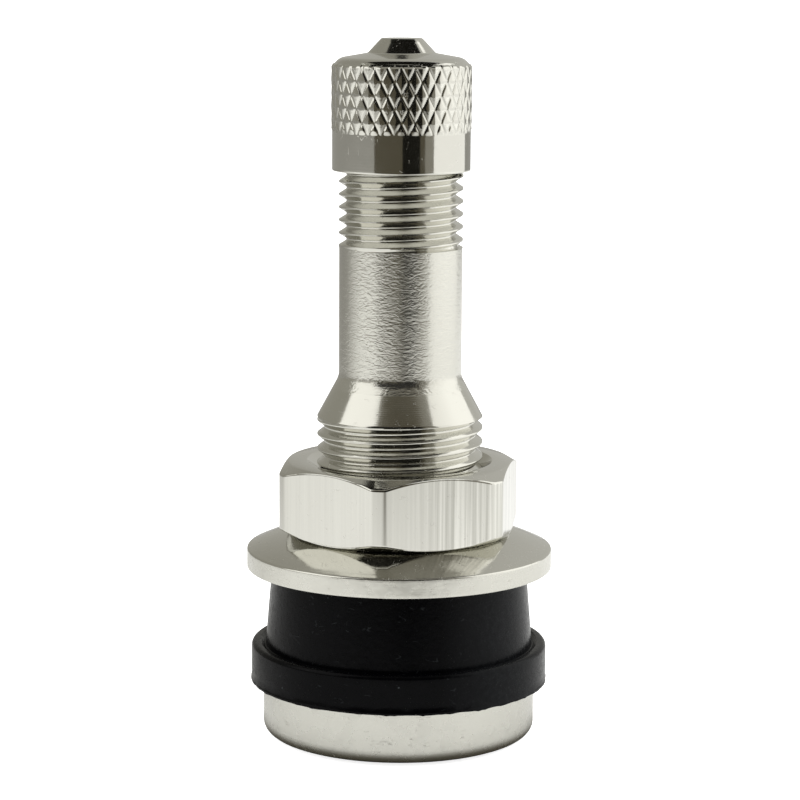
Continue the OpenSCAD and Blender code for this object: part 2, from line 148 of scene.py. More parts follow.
def dense(outline, longest):
    """The same outline with extra points, so that no stretch is longer than the given length.

    Smooth shading blends the directions at the two ends of a face, so on a long face the bend
    of a rounded edge would show far down the straight wall.
    """
    points = [outline[0]]
    for a, b in zip(outline[:-1], outline[1:]):
        count = max(1, math.ceil(np.linalg.norm(b - a) / longest))
        points.extend(a + (b - a) * k / count for k in range(1, count + 1))
    return np.array(points)


def round_angles(count):
    return np.arange(count) * 2 * math.pi / count


def plain(outline, angles):
    """Grid rows of an outline that is the same all round."""
    shape = (len(outline), len(angles))
    seam = np.arange(len(outline))
    return np.broadcast_to(outline[:, :1], shape), np.broadcast_to(outline[:, 1:2], shape), seam


print("a filleted square has", len(rounded([(0, 0, 1), (4, 0, 1), (4, 4, 1), (0, 4, 1)])), "points")

# %% [markdown]
# ## Cutting a thread
# A thread is a groove that climbs one pitch in each turn. If the rows of the grid lay flat, the
# crest would cross them and its edge would look like a staircase. So the rows of a thread
# climb with it: at the end of a turn a row meets the row one pitch higher. Heights are held
# between the thread's two ends, where the groove also fades out, as it does at a die's lead-in.
# The nut and the cap use the same helix, so they run on the stem without touching it.

# %% Thread rows that climb with the helix
pitch_of = {
    c["joint"]: 2 * math.pi / c["ratio"] / MM for c in frame["record"]["behaviour"]["couplings"]}
NUT_PITCH, CAP_PITCH = pitch_of["nut_turn"], pitch_of["cap_turn"]
# Places across one pitch, from one crest to the next, and the groove's depth there as a share
THREAD_FORM = np.array([
    (0.0, 0.0), (0.05, 0.0), (0.08, 0.05), (0.25, 0.5), (0.42, 0.95), (0.46, 1.0),
    (0.54, 1.0), (0.58, 0.95), (0.75, 0.5), (0.92, 0.05), (0.95, 0.0)])
COARSE_FORM = THREAD_FORM[[0, 3, 5, 6, 8]]


def thread(low, high, pitch, crest_z, crest_r, root_r, angles, fade_low, fade_high, form=THREAD_FORM):
    """Grid rows of a thread between two levels; crest_z is a crest's height at angle zero."""
    across, depth = form.T
    first = crest_z + pitch * (math.floor((low - crest_z) / pitch) - 2)
    turns = math.ceil((high - first) / pitch) + 1
    place = np.append((np.arange(turns)[:, None] + across).ravel(), turns)
    share = np.append(np.tile(depth, turns), 0)
    height = first + pitch * (place[:, None] + angles / (2 * math.pi))
    height = np.clip(height, low, high)
    fade = np.clip((height - low) / fade_low, 0, 1) * np.clip((high - height) / fade_high, 0, 1)
    radius = crest_r + (root_r - crest_r) * share[:, None] * fade
    seam = np.minimum(np.arange(len(place)) + len(across), len(place) - 1)
    return radius, height, seam


def stacked(*blocks):
    """Joins grid blocks, one above the other, into one radius, height and seam."""
    starts = np.cumsum([0] + [len(b[2]) for b in blocks[:-1]])
    seam = np.concatenate([b[2] + s for b, s in zip(blocks, starts)])
    return np.vstack([b[0] for b in blocks]), np.vstack([b[1] for b in blocks]), seam


print("pitches", NUT_PITCH, CAP_PITCH, "with", len(THREAD_FORM), "rows to a pitch")

# %% [markdown]
# ## From a grid to a mesh
# Four neighbouring grid points make a face. Points that fall together, as at the axis or at a
# thread's end, are welded, so each mesh closes. The new mesh then stands for its imported node,
# rides on that node's body, and takes the finishes that it is given.

# %% One mesh from a grid
WELD_M = 2e-7
SLIVER_M = 1e-7
LEVEL_MM = 1e-6


def surface(name, node, grid, angles, materials, closed=True, sharp=40):
    """A smooth mesh from a grid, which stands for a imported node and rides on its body.

    The last column meets the first one, each row at the row that the seam gives. Without a
    seam the two columns stay apart.
    """
    radius, height, seam = grid
    points = np.stack([radius * np.cos(angles), radius * np.sin(angles), height], -1) * MM
    index = np.arange(radius.size).reshape(radius.shape)
    beside = np.roll(index, -1, axis=1)
    if seam is None:
        index, beside = index[:, :-1], beside[:, :-1]
    else:
        beside[:, -1] = index[seam, 0]
    if closed:
        index, beside = (np.vstack([a, a[:1]]) for a in (index, beside))
    quads = np.stack([index[:-1], beside[:-1], beside[1:], index[1:]], -1).reshape(-1, 4)
    # A face is split along its first diagonal, which has to follow a groove, not to cross it
    corner_radius = radius.ravel()[quads]
    first_rise = np.abs(corner_radius[:, 0] - corner_radius[:, 2])
    second_rise = np.abs(corner_radius[:, 1] - corner_radius[:, 3])
    crossing = first_rise > second_rise + LEVEL_MM
    quads[crossing] = np.roll(quads[crossing], -1, axis=1)
    mesh = bpy.data.meshes.new(name)
    mesh.from_pydata(points.reshape(-1, 3).tolist(), [], quads.tolist())
    shell = bmesh.new()
    shell.from_mesh(mesh)
    bmesh.ops.remove_doubles(shell, verts=shell.verts, dist=WELD_M)
    bmesh.ops.dissolve_degenerate(shell, edges=shell.edges, dist=SLIVER_M)
    bmesh.ops.recalc_face_normals(shell, faces=shell.faces)
    open_edges = sum(1 for e in shell.edges if len(e.link_faces) != 2)
    shell.to_mesh(mesh)
    shell.free()
    for material in materials:
        mesh.materials.append(material)
    mesh.polygons.foreach_set("use_smooth", [True] * len(mesh.polygons))
    mesh.set_sharp_from_angle(angle=math.radians(sharp))
    piece = bpy.data.objects.new(name, mesh)
    bpy.context.scene.collection.objects.link(piece)
    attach(piece, frame["nodes"][node]["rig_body"])
    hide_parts(node)
    mesh.calc_loop_triangles()
    print(name, len(mesh.loop_triangles), "triangles,", open_edges, "open edges")
    return piece


def face_places(piece):
    """Distance from the axis and height of the middle of each face, in millimetres."""
    centres = np.zeros(len(piece.data.polygons) * 3)
    piece.data.polygons.foreach_get("center", centres)
    centres = centres.reshape(-1, 3) / MM
    return np.hypot(centres[:, 0], centres[:, 1]), centres[:, 2]


# %% [markdown]
# ## Building a material
# Every finish here is a small node tree round one Principled shader. One helper adds a node:
# it takes the node's kind, its settings, and what goes into its inputs, which is either a
# value or another node's output. Colours are written as the hex values that a colour picker
# shows, and one function turns them into the linear light that the shader works with.

# %% Colour and node helpers
def linear(code):
    parts = [int(code[i:i + 2], 16) / 255 for i in (1, 3, 5)]
    return [p / 12.92 if p <= 0.04045 else ((p + 0.055) / 1.055) ** 2.4 for p in parts] + [1.0]


def add(tree, kind, inputs=None, **settings):
    node = tree.nodes.new(kind)
    for key, value in settings.items():
        setattr(node, key, value)
    for key, value in (inputs or {}).items():
        if isinstance(value, bpy.types.NodeSocket):
            tree.links.new(value, node.inputs[key])
        else:
            node.inputs[key].default_value = value
    return node


def empty_material(name):
    material = bpy.data.materials.new(name)
    material.use_nodes = True
    material.node_tree.nodes.clear()
    return material, material.node_tree


def new_material(name):
    """A material with a shader, and coordinates in millimetres that move with the piece."""
    material, tree = empty_material(name)
    shader = add(tree, "ShaderNodeBsdfPrincipled")
    add(tree, "ShaderNodeOutputMaterial", {"Surface": shader.outputs["BSDF"]})
    place = add(tree, "ShaderNodeTexCoord").outputs["Object"]
    in_mm = add(tree, "ShaderNodeVectorMath", {0: place, 1: (1000, 1000, 1000)}, operation="MULTIPLY")
    return material, tree, shader, in_mm.outputs["Vector"]


NICKEL = "#cdccc4"
print("nickel in linear light", [round(c, 3) for c in linear(NICKEL)])

# %% [markdown]
# ## Nickel plate over turned brass
# Bright nickel is a warm, slightly grey mirror. Over a turned surface it keeps faint rings from
# the tool, and handling leaves hairlines and dull patches. The rings are a wave along the axis
# at the tool's feed, and soft noise varies the gloss, so that reflections look lived in. Where
# a noise pattern crosses its middle value it draws thin wandering lines, and a second noise
# keeps only a few of them: those are the hairlines.

# %% Hairlines
# How far off its middle value the noise still draws a line, in full and at its soft edge
LINE_CORE, LINE_EDGE = 0.004, 0.012
# Scratched regions are about 0.6 mm wide, and lie where the second noise rises above a level
REGIONS_PER_MM, REGION_LEVEL, REGION_EDGE = 1.7, 0.66, 0.04


def hairlines(tree, place, stretch, share):
    """Sparse thin scratches: one where a scratch runs, zero elsewhere."""
    along = add(tree, "ShaderNodeVectorMath", {0: place, 1: stretch}, operation="MULTIPLY")
    paths = add(tree, "ShaderNodeTexNoise", {
        "Vector": along.outputs["Vector"], "Scale": 1.0, "Detail": 1.0})
    off_path = add(tree, "ShaderNodeMath", {0: paths.outputs["Fac"], 1: 0.5}, operation="SUBTRACT")
    away = add(tree, "ShaderNodeMath", {0: off_path.outputs[0]}, operation="ABSOLUTE")
    line = add(tree, "ShaderNodeMapRange", {
        "Value": away.outputs[0], "From Min": LINE_CORE, "From Max": LINE_EDGE,
        "To Min": 1.0, "To Max": 0.0})
    regions = add(tree, "ShaderNodeTexNoise", {"Vector": place, "Scale": REGIONS_PER_MM, "Detail": 2.0})
    level = REGION_LEVEL - share
    kept = add(tree, "ShaderNodeMapRange", {
        "Value": regions.outputs["Fac"], "From Min": level, "From Max": level + REGION_EDGE})
    both = add(tree, "ShaderNodeMath", {
        0: line.outputs["Result"], 1: kept.outputs["Result"]}, operation="MULTIPLY")
    return both.outputs[0]


print("scratched regions are", round(1 / REGIONS_PER_MM, 2), "mm wide")

# %% Turned nickel
# A wave texture of scale one has a band every 2 pi / 20
WAVE_BAND = 2 * math.pi / 20
PATCHES_PER_MM = 0.9


def turned_nickel(name, roughness, feed_mm, ring_depth, spots, dents, stretch, share):
    material, tree, shader, place = new_material(name)
    shader.inputs["Base Color"].default_value = linear(NICKEL)
    shader.inputs["Metallic"].default_value = 1.0
    # Handling marks: patches about a millimetre wide that are a little duller than the rest
    patches = add(tree, "ShaderNodeTexNoise", {"Vector": place, "Scale": PATCHES_PER_MM, "Detail": 4.0})
    gloss = add(tree, "ShaderNodeMapRange", {
        "Value": patches.outputs["Fac"], "From Min": 0.3, "From Max": 0.75,
        "To Min": roughness, "To Max": roughness + spots})
    scratches = hairlines(tree, place, stretch, share)
    scuffed = add(tree, "ShaderNodeMath", {
        0: scratches, 1: 0.35, 2: gloss.outputs["Result"]}, operation="MULTIPLY_ADD")
    tree.links.new(scuffed.outputs[0], shader.inputs["Roughness"])
    # Tool rings, drawn coarser than a real feed so that they show in the picture
    rings = add(tree, "ShaderNodeTexWave", {
        "Vector": place, "Scale": WAVE_BAND / feed_mm, "Distortion": 1.5, "Detail": 2.0,
        "Detail Scale": 1.0}, bands_direction="Z")
    bump = add(tree, "ShaderNodeBump", {
        "Height": rings.outputs["Fac"], "Strength": ring_depth, "Distance": 0.02 * MM})
    uneven = add(tree, "ShaderNodeBump", {
        "Height": patches.outputs["Fac"], "Strength": dents, "Distance": 0.05 * MM,
        "Normal": bump.outputs["Normal"]})
    cuts = add(tree, "ShaderNodeBump", {
        "Height": scratches, "Strength": 0.3, "Distance": 0.01 * MM, "Normal": uneven.outputs["Normal"]})
    tree.links.new(cuts.outputs["Normal"], shader.inputs["Normal"])
    return material


# Scratches run level round the stem and the rim, slanted on the cap and along the cone's slope
nickel_stem = turned_nickel(
    "nickel_plate_on_turned_brass", roughness=0.1, feed_mm=0.12, ring_depth=0.015, spots=0.06,
    dents=0.08, stretch=(1, 1, 5), share=0.02)
nickel_cap = turned_nickel(
    "nickel_plate_on_knurled_brass", roughness=0.07, feed_mm=0.2, ring_depth=0.01, spots=0.05,
    dents=0.06, stretch=(2.5, 2.5, 1.2), share=0.06)
nickel_washer = turned_nickel(
    "nickel_plate_on_pressed_washer", roughness=0.09, feed_mm=0.15, ring_depth=0.01, spots=0.08,
    dents=0.15, stretch=(3, 1, 3), share=0.08)
satin_rim = turned_nickel(
    "nickel_plate_on_pressed_rim", roughness=0.22, feed_mm=0.15, ring_depth=0.02, spots=0.12,
    dents=0.8, stretch=(1, 1, 4), share=0.04)
nickel_foot = turned_nickel(
    "nickel_plate_on_forged_foot", roughness=0.22, feed_mm=0.3, ring_depth=0.02, spots=0.1,
    dents=0.6, stretch=(1, 1, 4), share=0.06)
print("turned nickel finishes made")

# %% [markdown]
# ## Nickel plate over a rough neck
# The neck was left as it was drawn, so its plating is wrinkled like orange peel: short, mostly
# level creases about half a millimetre long. Stretched noise gives their height. A bump is
# enough, because the creases are only some hundredths of a millimetre deep.

# %% Wrinkled nickel
# A crease is about 0.6 mm long and 0.25 mm high
CREASES_PER_MM = (1.7, 1.7, 3.8)


def wrinkled_nickel(name):
    material, tree, shader, place = new_material(name)
    shader.inputs["Base Color"].default_value = linear(NICKEL)
    shader.inputs["Metallic"].default_value = 1.0
    shader.inputs["Roughness"].default_value = 0.2
    stretched = add(tree, "ShaderNodeVectorMath", {0: place, 1: CREASES_PER_MM}, operation="MULTIPLY")
    creases = add(tree, "ShaderNodeTexNoise", {
        "Vector": stretched.outputs["Vector"], "Scale": 1.0, "Detail": 2.0, "Roughness": 0.5,
        "Distortion": 1.6})
    bump = add(tree, "ShaderNodeBump", {
        "Height": creases.outputs["Fac"], "Strength": 0.5, "Distance": 0.04 * MM})
    tree.links.new(bump.outputs["Normal"], shader.inputs["Normal"])
    return material


nickel_neck = wrinkled_nickel("nickel_plate_on_rough_neck")
print("wrinkled nickel made")

# %% [markdown]
# ## Nickel plate over drawn hexagon bar
# The nut was cut from drawn bar, and the die left fine lines along the bar, which stand
# upright on the flats. The lines are noise that is stretched a long way along the axis. A worn
# die doesn't mark all sides alike: the photograph shows lines at the right, and a plain flat
# with small marks at the left.

# %% Drawn nickel
# A drawing line is about 0.2 mm wide, and longer than the nut is high
LINES_PER_MM = (5.0, 5.0, 0.05)


def drawn_nickel(name):
    material, tree, shader, place = new_material(name)
    shader.inputs["Metallic"].default_value = 1.0
    stretched = add(tree, "ShaderNodeVectorMath", {0: place, 1: LINES_PER_MM}, operation="MULTIPLY")
    lines = add(tree, "ShaderNodeTexNoise", {
        "Vector": stretched.outputs["Vector"], "Scale": 1.0, "Detail": 4.0, "Roughness": 0.6})
    # The lines are strong at the right and faint at the left, and end where the flats do
    sideways = add(tree, "ShaderNodeSeparateXYZ", {0: place})
    on_right = add(tree, "ShaderNodeMapRange", {
        "Value": sideways.outputs["X"], "From Min": 0.5, "From Max": 3.0, "To Min": 0.08, "To Max": 0.5})
    facing = add(tree, "ShaderNodeSeparateXYZ", {0: add(tree, "ShaderNodeNewGeometry").outputs["Normal"]})
    tipped = add(tree, "ShaderNodeMath", {0: facing.outputs["Z"]}, operation="ABSOLUTE")
    lined = add(tree, "ShaderNodeMapRange", {
        "Value": tipped.outputs[0], "From Min": 0.1, "From Max": 0.4,
        "To Min": on_right.outputs["Result"], "To Max": 0.0})
    depth = add(tree, "ShaderNodeMath", {
        0: lines.outputs["Fac"], 1: lined.outputs["Result"]}, operation="MULTIPLY")
    scratches = hairlines(tree, place, (2, 2, 1.5), 0.06)
    gloss = add(tree, "ShaderNodeMath", {0: scratches, 1: 0.3, 2: 0.08}, operation="MULTIPLY_ADD")
    tree.links.new(gloss.outputs[0], shader.inputs["Roughness"])
    # The plating is a little thinner or thicker along a line, which shows as a paler or greyer streak
    streak = add(tree, "ShaderNodeMapRange", {
        "Value": lines.outputs["Fac"], "From Min": 0.36, "From Max": 0.64, "To Min": -0.5, "To Max": 0.5})
    tint = add(tree, "ShaderNodeMath", {
        0: streak.outputs["Result"], 1: lined.outputs["Result"], 2: 0.5}, operation="MULTIPLY_ADD")
    colour = add(tree, "ShaderNodeMix", {
        "Factor": tint.outputs[0], "A": linear("#a3a29a"), "B": linear("#f0efe8")}, data_type="RGBA")
    tree.links.new(colour.outputs["Result"], shader.inputs["Base Color"])
    bump = add(tree, "ShaderNodeBump", {
        "Height": depth.outputs[0], "Strength": 0.3, "Distance": 0.04 * MM})
    tree.links.new(bump.outputs["Normal"], shader.inputs["Normal"])
    return material


nickel_nut = drawn_nickel("nickel_plate_on_drawn_bar")
print("drawn nickel made")

# %% [markdown]
# ## Moulded rubber
# The grommet and the small seals are carbon-black rubber. It swallows nearly all light, with a
# soft gloss where a surface turns away from the eye, and it picks up pale dust and scuffs.
# A plain dark colour would look like plastic. So noise varies the gloss, a cellular pattern
# sets a few specks of dust, the hairlines come back as faint scuffs, and a paler film at the
# right is partly fine dust and partly painted sheen.

# %% Rubber
# Grains of the skin are about 0.3 mm wide; one dust speck may lie in each cell of 0.7 mm
GRAINS_PER_MM = 3.0
DUST_CELLS_PER_MM = 1.4
SPECK_REACH = 0.085


def moulded_rubber(name, code, roughness, dust_and_sheen_share):
    material, tree, shader, place = new_material(name)
    shader.inputs["IOR"].default_value = 1.52
    shader.inputs["Specular IOR Level"].default_value = 0.06
    skin = add(tree, "ShaderNodeTexNoise", {
        "Vector": place, "Scale": GRAINS_PER_MM, "Detail": 5.0, "Roughness": 0.6})
    gloss = add(tree, "ShaderNodeMapRange", {
        "Value": skin.outputs["Fac"], "From Min": 0.3, "From Max": 0.7,
        "To Min": roughness - 0.08, "To Max": roughness + 0.12})
    tree.links.new(gloss.outputs["Result"], shader.inputs["Roughness"])
    # Dust: a few cells of a cellular pattern hold a speck about 0.1 mm wide
    cells = add(tree, "ShaderNodeTexVoronoi", {"Vector": place, "Scale": DUST_CELLS_PER_MM})
    near = add(tree, "ShaderNodeMath", {
        0: cells.outputs["Distance"], 1: SPECK_REACH}, operation="LESS_THAN")
    chosen = add(tree, "ShaderNodeSeparateColor", {"Color": cells.outputs["Color"]})
    few = add(tree, "ShaderNodeMath", {0: chosen.outputs["Red"], 1: dust_and_sheen_share}, operation="LESS_THAN")
    speck = add(tree, "ShaderNodeMath", {0: near.outputs[0], 1: few.outputs[0]}, operation="MULTIPLY")
    scuffs = hairlines(tree, place, (0.7, 0.7, 1.6), dust_and_sheen_share)
    faint = add(tree, "ShaderNodeMath", {0: scuffs, 1: 0.4}, operation="MULTIPLY")
    marks = add(tree, "ShaderNodeMath", {0: speck.outputs[0], 1: faint.outputs[0]}, operation="MAXIMUM")
    # A paler film at the right: partly fine dust, partly a painted sheen on the side that the right soft box
    # lights
    sideways = add(tree, "ShaderNodeSeparateXYZ", {0: place})
    on_right = add(tree, "ShaderNodeMapRange", {
        "Value": sideways.outputs["X"], "From Min": 2.5, "From Max": 6.0, "To Max": 5 * dust_and_sheen_share})
    dust_and_sheen_film = add(tree, "ShaderNodeMath", {
        0: on_right.outputs["Result"], 1: skin.outputs["Fac"]}, operation="MULTIPLY")
    dust_and_painted_sheen = add(tree, "ShaderNodeMath", {0: marks.outputs[0], 1: dust_and_sheen_film.outputs[0]}, operation="MAXIMUM")
    # Dust, scuffs and the painted sheen at the right all turn the black towards pale grey
    colour = add(tree, "ShaderNodeMix", {
        "Factor": dust_and_painted_sheen.outputs[0], "A": linear(code), "B": linear("#2c2e30")}, data_type="RGBA")
    tree.links.new(colour.outputs["Result"], shader.inputs["Base Color"])
    bump = add(tree, "ShaderNodeBump", {
        "Height": skin.outputs["Fac"], "Strength": 0.25, "Distance": 0.05 * MM})
    tree.links.new(bump.outputs["Normal"], shader.inputs["Normal"])
    return material


black_rubber = moulded_rubber("moulded_black_rubber", "#020203", roughness=0.22, dust_and_sheen_share=0.08)
seal_rubber = moulded_rubber("moulded_seal_rubber", "#1c1c1d", roughness=0.6, dust_and_sheen_share=0.0)
print("rubber made")

# %% [markdown]
# ## The core's brass, steel and white seal
# The core's pieces are bare turned brass, its spring is drawn steel wire, and the ring that
# seals the barrel is a white fluoropolymer. They show only when the cap is off or from below.
# Their solids have the right shape already, so all but the spring keep it and only get a finish.

# %% Core finishes
def core_finish(name, code, metallic, roughness, grain_mm):
    material, tree, shader, place = new_material(name)
    shader.inputs["Metallic"].default_value = metallic
    grain = add(tree, "ShaderNodeTexNoise", {"Vector": place, "Scale": 1 / grain_mm, "Detail": 3.0})
    tone = add(tree, "ShaderNodeMix", {
        "Factor": 0.25, "A": linear(code), "B": grain.outputs["Fac"]},
        data_type="RGBA", blend_type="MULTIPLY")
    tree.links.new(tone.outputs["Result"], shader.inputs["Base Color"])
    gloss = add(tree, "ShaderNodeMapRange", {
        "Value": grain.outputs["Fac"], "To Min": roughness, "To Max": roughness + 0.15})
    tree.links.new(gloss.outputs["Result"], shader.inputs["Roughness"])
    return material


bare_brass = core_finish("bare_turned_brass", "#d9b25f", metallic=1.0, roughness=0.2, grain_mm=0.3)
spring_wire = core_finish("drawn_spring_steel", "#b9bbc0", metallic=1.0, roughness=0.25, grain_mm=0.1)
white_seal = core_finish("moulded_white_fluoropolymer", "#eeeeea", metallic=0.0, roughness=0.45, grain_mm=0.4)
core_look = {
    "cap_seal": seal_rubber, "seat_washer": seal_rubber, "core_plug": bare_brass,
    "core_barrel": bare_brass, "core_pin": bare_brass, "spring_seat": bare_brass,
    "seat_cup": bare_brass, "barrel_seal": white_seal}
for node, material in core_look.items():
    part = frame["nodes"][node]
    part.data.materials.clear()
    part.data.materials.append(material)
print("core pieces dressed:", sorted(core_look))

# %% [markdown]
# ## The core's spring
# A coil of steel wire pushes the pin up. A curve with a bevel could draw it, but the grid does
# as well: its columns run along the wire for nine turns, and its rows go round the wire. At
# both ends the wire shrinks to a point, which closes the mesh. When the pin is pressed the
# spring has to shorten with it, but nothing here squashes it.

# %% Spring
SPRING_TURNS = 9
STEPS_PER_TURN = 30
WIRE_SIDES = 10
WIRE_D = 0.3
WIRE_R = WIRE_D / 2
spring_low, spring_high = box_mm("core_spring")
wire_turns = np.linspace(0, SPRING_TURNS, STEPS_PER_TURN * SPRING_TURNS + 1)
wire_turns = np.concatenate([[0], wire_turns, [SPRING_TURNS]])
wire_round = round_angles(WIRE_SIDES)[:, None]
wire_reach = np.full(len(wire_turns), WIRE_R)
wire_reach[[0, -1]] = 0
spring_radius = spring_high[0] - WIRE_R + wire_reach * np.cos(wire_round)
climb = (spring_high[2] - spring_low[2] - WIRE_D) / SPRING_TURNS
spring_height = spring_low[2] + WIRE_R + climb * wire_turns + wire_reach * np.sin(wire_round)
spring = surface("spring_wound", "core_spring", (spring_radius, spring_height, None),
                 wire_turns * 2 * math.pi, [spring_wire])
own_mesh(spring)

# %% [markdown]
# ## The stem
# One turned piece, from its rounded foot through the shank, the cone and the neck to the valve
# thread, with the core's stepped bore inside. The outline is one closed loop: up the outside
# and back down the bore. The grommet hides the lower shank, so the thread starts inside it.

# %% Sizes of the stem
PAD_R, PAD_H, PAD_EDGE = 7.0, 0.2, 0.06
FOOT_ROUND, FOOT_EDGE = 0.7, 0.08
NECK_COVE = 1.2
MOUTH_BEVEL, MOUTH_EDGE = 0.45, 0.05
SHANK_ROOT_R, VALVE_ROOT_R = 4.735, 3.38
SHANK_THREAD_Z = PLUG_TOP_Z - 0.6
VALVE_THREAD_TOP_Z = MOUTH_Z - MOUTH_BEVEL
# Height of one crest of each thread in the direction of the X axis
SHANK_CREST_Z = NUT_TOP_Z + 2.1
VALVE_CREST_Z = NECK_TOP_Z + 0.5
# The bore fits round the core's threaded plug and its sealing ring, and ends in a plain passage
CORE_GAP = 0.03
ring_low, ring_high = box_mm("barrel_seal")
CORE_THREAD_R = box_mm("core_plug")[1][0] + CORE_GAP
CORE_THREAD_Z = MOUTH_Z - 5.6
RING_R = ring_high[0] + CORE_GAP
CHAMBER_R, CHAMBER_Z = 1.85, MOUTH_Z - 20.2
PASSAGE_R, PASSAGE_FLARE = 1.6, 0.6
print("bore steps", CORE_THREAD_R, RING_R, CHAMBER_R, PASSAGE_R)

# %% Stem
stem_angles = round_angles(160)
foot_outline = rounded([
    (PASSAGE_R + PASSAGE_FLARE, 0), (PAD_R, 0, PAD_EDGE), (PAD_R, PAD_H, PAD_EDGE),
    (FOOT_R, PAD_H, FOOT_ROUND), (FOOT_R, SEAT_Z, FOOT_EDGE), (SHANK_R, SEAT_Z),
    (SHANK_R, SHANK_THREAD_Z)], closed=False)
shank_thread = thread(
    SHANK_THREAD_Z, SHANK_TOP_Z, NUT_PITCH, SHANK_CREST_Z, SHANK_R, SHANK_ROOT_R, stem_angles,
    fade_low=0.5, fade_high=0.15)
neck_outline = rounded([
    (SHANK_R, SHANK_TOP_Z), (NECK_R, CONE_TOP_Z, NECK_COVE), (NECK_R, NECK_TOP_Z)], closed=False, step=4)
valve_thread = thread(
    NECK_TOP_Z, VALVE_THREAD_TOP_Z, CAP_PITCH, VALVE_CREST_Z, VALVE_R, VALVE_ROOT_R, stem_angles,
    fade_low=0.25, fade_high=0.3)
bore_outline = rounded([
    (VALVE_R, VALVE_THREAD_TOP_Z), (VALVE_R - MOUTH_BEVEL, MOUTH_Z, MOUTH_EDGE),
    (CORE_THREAD_R, MOUTH_Z, MOUTH_EDGE), (CORE_THREAD_R, CORE_THREAD_Z), (RING_R, CORE_THREAD_Z),
    (RING_R, ring_high[2]), (CHAMBER_R, ring_low[2]), (CHAMBER_R, CHAMBER_Z), (PASSAGE_R, CHAMBER_Z),
    (PASSAGE_R, PASSAGE_FLARE)], closed=False)
stem_grid = stacked(
    plain(dense(foot_outline, 0.2), stem_angles), shank_thread,
    plain(dense(neck_outline, 0.15), stem_angles), valve_thread, plain(bore_outline, stem_angles))
stem = surface("stem_turned", "valve_stem", stem_grid, stem_angles,
               [nickel_stem, nickel_neck, nickel_foot])
outward, height = face_places(stem)
# The wrinkled finish starts in the cove below the neck, and the bore has none of it
WRINKLES_Z = CONE_TOP_Z - 0.7
on_neck = (outward > CORE_THREAD_R) & (height > WRINKLES_Z) & (height < NECK_TOP_Z)
on_foot = height < SEAT_Z
stem.data.polygons.foreach_set("material_index", (on_neck * 1 + on_foot * 2).astype(np.int32))

# %% [markdown]
# ## The grommet
# A moulding with a flange that stays inside the rim and a tapered plug that fills the hole.
# Moulded rubber is never quite round: the thin lip where the mould's halves met is ragged.
# Noise along the lip draws it in at some places and pulls it down at others.

# %% Grommet
grommet_angles = round_angles(240)
GROMMET_BORE_R = SHANK_R + 0.05
FLANGE_TOP_Z = SEAT_Z + 2.45
FLANGE_R = LIP_R - 0.05
FLANGE_ROUND = 0.3
LIP_Z, LIP_TOP_Z, LIP_EDGE = SEAT_Z + 0.12, SEAT_Z + 0.2, 0.03
PLUG_LOW_R, PLUG_TOP_R, PLUG_EDGE = 8.4, 8.0, 0.08
# A groove runs round the plug where it meets the flange
GROOVE_R, GROOVE_OUT_R, GROOVE_DEEP = 8.42, 8.75, 0.22
GROOVE_EDGE, GROOVE_ROUND, PLUG_FOOT_ROUND = 0.05, 0.04, 0.3
grommet_outline = rounded([
    (GROMMET_BORE_R, SEAT_Z), (LIP_R, SEAT_Z, LIP_EDGE), (LIP_R, LIP_Z, LIP_EDGE),
    (FLANGE_R, LIP_TOP_Z), (FLANGE_R, FLANGE_TOP_Z, FLANGE_ROUND),
    (GROOVE_OUT_R, FLANGE_TOP_Z, GROOVE_EDGE), (GROOVE_R, FLANGE_TOP_Z - GROOVE_DEEP, GROOVE_ROUND),
    (PLUG_LOW_R, FLANGE_TOP_Z, PLUG_FOOT_ROUND), (PLUG_TOP_R, PLUG_TOP_Z, PLUG_EDGE),
    (GROMMET_BORE_R, PLUG_TOP_Z)])
grommet_radius, grommet_height, grommet_seam = plain(dense(grommet_outline, 0.4), grommet_angles)
grommet_radius, grommet_height = grommet_radius.copy(), grommet_height.copy()
# How wide and narrow the lip's waves are, as radii of a ring in the noise, and how far they reach
WIDE_RING, NARROW_RING, NARROW_SHARE = 9, 30, 0.6
DRAWN_IN, PULLED_DOWN = 0.06, 0.09
for row, column in zip(*np.nonzero(grommet_radius > FLANGE_R + 0.005)):
    along = Vector((math.cos(grommet_angles[column]), math.sin(grommet_angles[column]), 0))
    wide, narrow = noise.noise(WIDE_RING * along), noise.noise(NARROW_RING * along + Vector((0, 0, 5)))
    ragged = wide + NARROW_SHARE * narrow
    grommet_radius[row, column] -= DRAWN_IN * max(0, ragged)
    if grommet_height[row, column] < SEAT_Z + 0.06:
        grommet_height[row, column] -= PULLED_DOWN * max(0, -ragged)
surface("grommet_moulded", "rubber_grommet",
        (grommet_radius, grommet_height, grommet_seam), grommet_angles, [black_rubber])

# %% [markdown]
# ## The washer
# A pressed and plated washer with an upright rim and a conical top. The nut bears on a flat
# that is a little narrower than the nut, so a dark gap shows all along under the nut's edge.
# Pressing leaves the cone slightly domed, which bends the nut's mirror image in it.
# Polishing reached the cone but not the rim, which stays satin and gets a finish of its own.

# %% Washer
washer_angles = round_angles(200)
WASHER_BORE_R = SHANK_R + 0.2
WASHER_SEAT_R = 6.6
WASHER_EDGE = 0.1
RIM_TOP_Z = PLUG_TOP_Z + 1.2
RIM_LOW_EDGE, RIM_TOP_EDGE = 0.06, 0.14
CONE_BULGE = 0.08
washer_outline = rounded([
    (WASHER_BORE_R, PLUG_TOP_Z, WASHER_EDGE), (WASHER_R, PLUG_TOP_Z, RIM_LOW_EDGE),
    (WASHER_R, RIM_TOP_Z, RIM_TOP_EDGE), (WASHER_SEAT_R, NUT_Z, WASHER_EDGE),
    (WASHER_BORE_R, NUT_Z, WASHER_EDGE)])
washer_outline = dense(washer_outline, 0.15)
